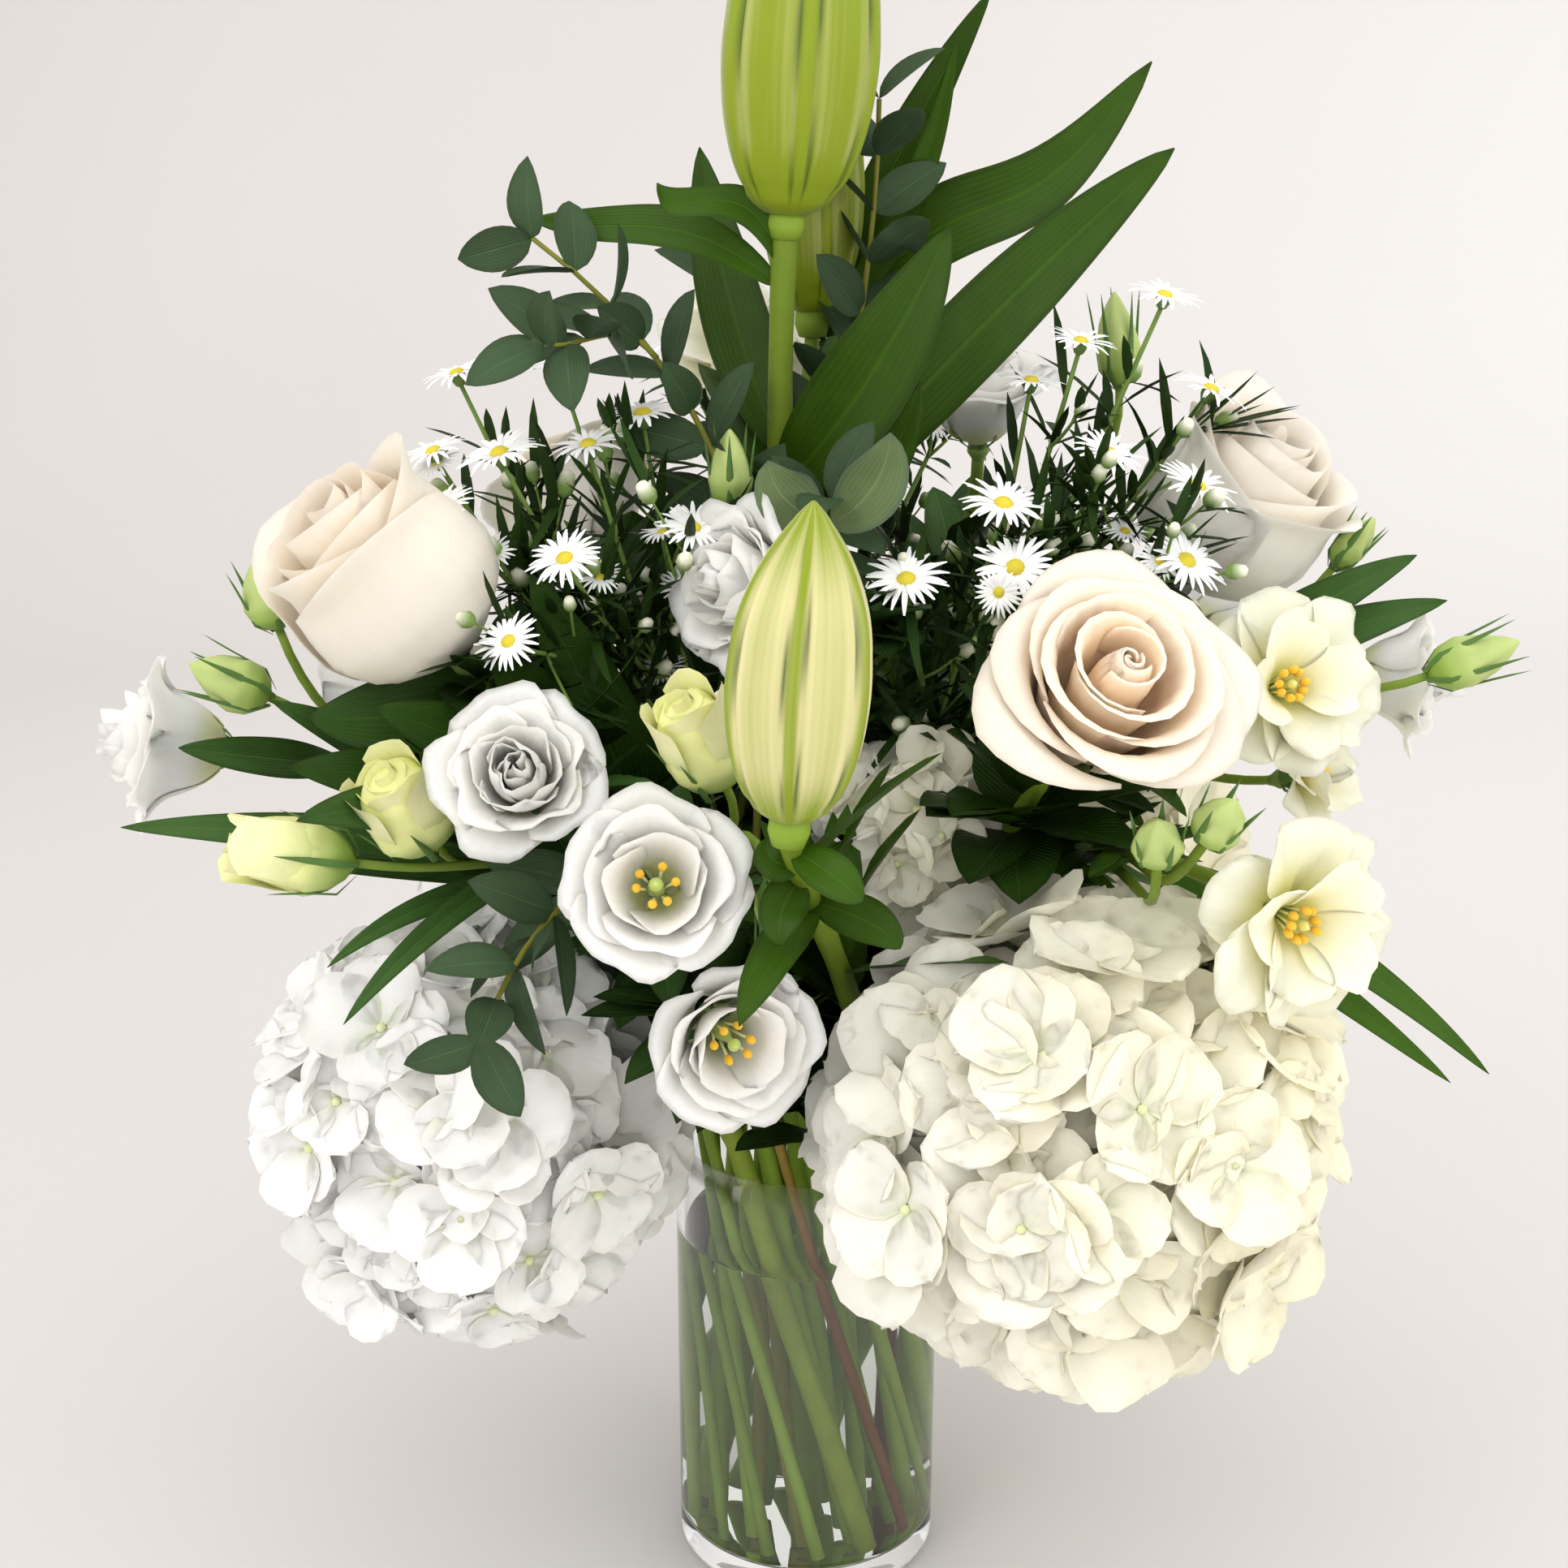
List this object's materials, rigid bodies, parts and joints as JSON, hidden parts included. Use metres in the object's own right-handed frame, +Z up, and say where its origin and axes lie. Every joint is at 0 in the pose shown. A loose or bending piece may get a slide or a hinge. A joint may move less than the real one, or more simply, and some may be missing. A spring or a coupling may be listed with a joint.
{
  "type": "floral table centerpiece",
  "caption": "Mixed white and cream flower arrangement with lily buds and greenery, its stems spiralled in a clear glass cylinder vase of water.",
  "frame": {"origin": "centre of the vase's flat underside, on the table", "axes": "+Z up along the vase's axis, -Y out of the front of the arrangement, +X to the right seen from the front"},
  "size_m": [0.495, 0.3907, 0.6369],
  "materials": {
    "glass": "clear, polished",
    "water": "clear",
    "hydrangea_petals": "soft, matte",
    "rose_petals": "velvety",
    "lisianthus_petals": "satin",
    "cream_petals": "satin",
    "lily_bud_tepals": "waxy",
    "green_stems": "semi-gloss leaf",
    "aster_sprays": "matte",
    "eucalyptus_leaves": "waxy, matte"
  },
  "bodies": {
    "root": {"cream_lower": "cream_petals", "cream_middle": "cream_petals", "cream_top": "cream_petals", "cream_upper": "cream_petals", "eucalyptus_left": "eucalyptus_leaves", "eucalyptus_low": "eucalyptus_leaves", "eucalyptus_rear": "eucalyptus_leaves", "eucalyptus_right": "eucalyptus_leaves", "hydrangea_left": "hydrangea_petals", "hydrangea_middle": "hydrangea_petals", "hydrangea_rear_left": "hydrangea_petals", "hydrangea_rear_right": "hydrangea_petals", "hydrangea_right": "hydrangea_petals", "lily_bud_front": "lily_bud_tepals", "lily_bud_second": "lily_bud_tepals", "lily_bud_top": "lily_bud_tepals", "lisianthus_behind": "lisianthus_petals", "lisianthus_centre": "lisianthus_petals", "lisianthus_far_left": "lisianthus_petals", "lisianthus_low": "lisianthus_petals", "lisianthus_mid": "lisianthus_petals", "lisianthus_rear_left": "lisianthus_petals", "lisianthus_rear_right": "lisianthus_petals", "lisianthus_right": "lisianthus_petals", "lisianthus_top": "lisianthus_petals", "rose_front": "rose_petals", "rose_left": "rose_petals", "rose_rear_left": "rose_petals", "rose_rear_right": "rose_petals", "rose_right": "rose_petals", "spray_aster_left": "aster_sprays", "spray_aster_rear": "aster_sprays", "spray_aster_right": "aster_sprays", "spray_lisianthus_behind": "green_stems", "spray_lisianthus_centre": "green_stems", "spray_lisianthus_far_left": "green_stems", "spray_lisianthus_low": "green_stems", "spray_lisianthus_mid": "green_stems", "spray_lisianthus_rear_left": "green_stems", "spray_lisianthus_rear_right": "green_stems", "spray_lisianthus_right": "green_stems", "spray_lisianthus_top": "green_stems", "stem_cream_lower": "green_stems", "stem_cream_top": "green_stems", "stem_cream_upper": "green_stems", "stem_hydrangea_left": "green_stems", "stem_hydrangea_middle": "green_stems", "stem_hydrangea_rear_left": "green_stems", "stem_hydrangea_rear_right": "green_stems", "stem_hydrangea_right": "green_stems", "stem_lily_front": "green_stems", "stem_lily_tall": "green_stems", "stem_rose_front": "green_stems", "stem_rose_left": "green_stems", "stem_rose_rear_left": "green_stems", "stem_rose_rear_right": "green_stems", "stem_rose_right": "green_stems", "vase": "glass", "water": "water"}
  },
  "joints": []
}
